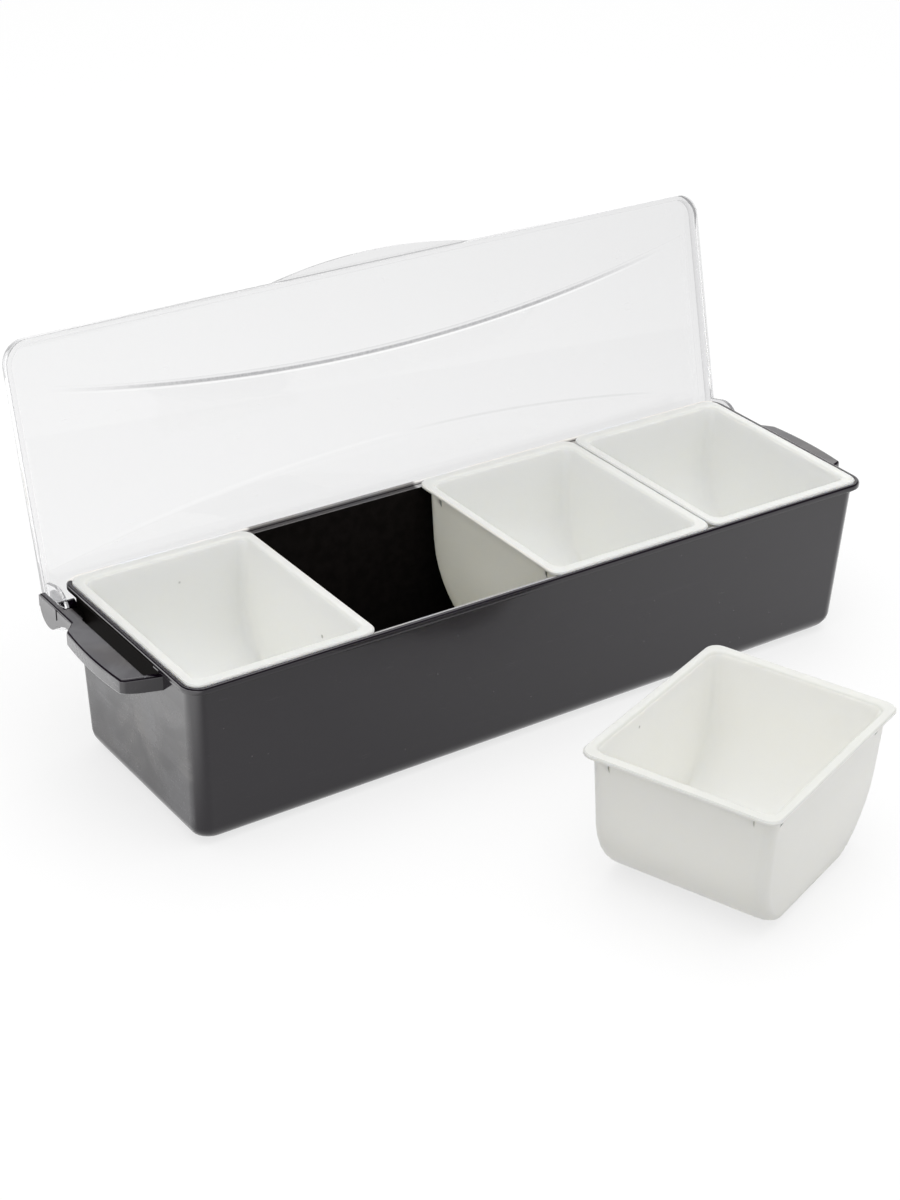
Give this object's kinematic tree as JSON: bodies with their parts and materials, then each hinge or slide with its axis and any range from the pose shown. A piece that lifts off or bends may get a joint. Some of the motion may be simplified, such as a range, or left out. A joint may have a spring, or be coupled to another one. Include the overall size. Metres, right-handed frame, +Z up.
{
  "type": "condiment caddy",
  "caption": "Long tapered black tub with end handles, lift-out white inserts and one clear full-length lid hinged along the back.",
  "frame": {"origin": "centre of the tub's underside, on the surface it stands on", "axes": "+X along the tub's length to the viewer's right, +Y towards the hinge at the back, +Z up"},
  "size_m": [0.4908, 0.4092, 0.2278],
  "materials": {
    "housing": "glossy black, fine scuffs",
    "lid": "clear, polished",
    "insert": "satin white"
  },
  "bodies": {
    "housing": {"housing": "housing"},
    "lid": {"lid": "lid"},
    "insert_1": {"insert_1": "insert"},
    "insert_2": {"insert_2": "insert"},
    "insert_3": {"insert_3": "insert"},
    "insert_4": {"insert_4": "insert"}
  },
  "joints": [
    {"name": "lid_hinge", "type": "hinge", "parent": "housing", "child": "lid", "pos_m": [0, 0.064, 0.087], "axis": [-1, 0, 0], "range_deg": [-104.34, 0]},
    {"name": "insert_1_lift", "type": "slide", "parent": "housing", "child": "insert_1", "axis": [0, 0, 1], "range_m": [0, 0.12]},
    {"name": "insert_2_lift", "type": "slide", "parent": "housing", "child": "insert_2", "axis": [0, 0, 1], "range_m": [0, 0.12]},
    {"name": "insert_3_lift", "type": "slide", "parent": "housing", "child": "insert_3", "axis": [0, 0, 1], "range_m": [0, 0.12]},
    {"name": "insert_4_lift", "type": "slide", "parent": "housing", "child": "insert_4", "axis": [0, 0, 1], "range_m": [0, 0.12]}
  ]
}
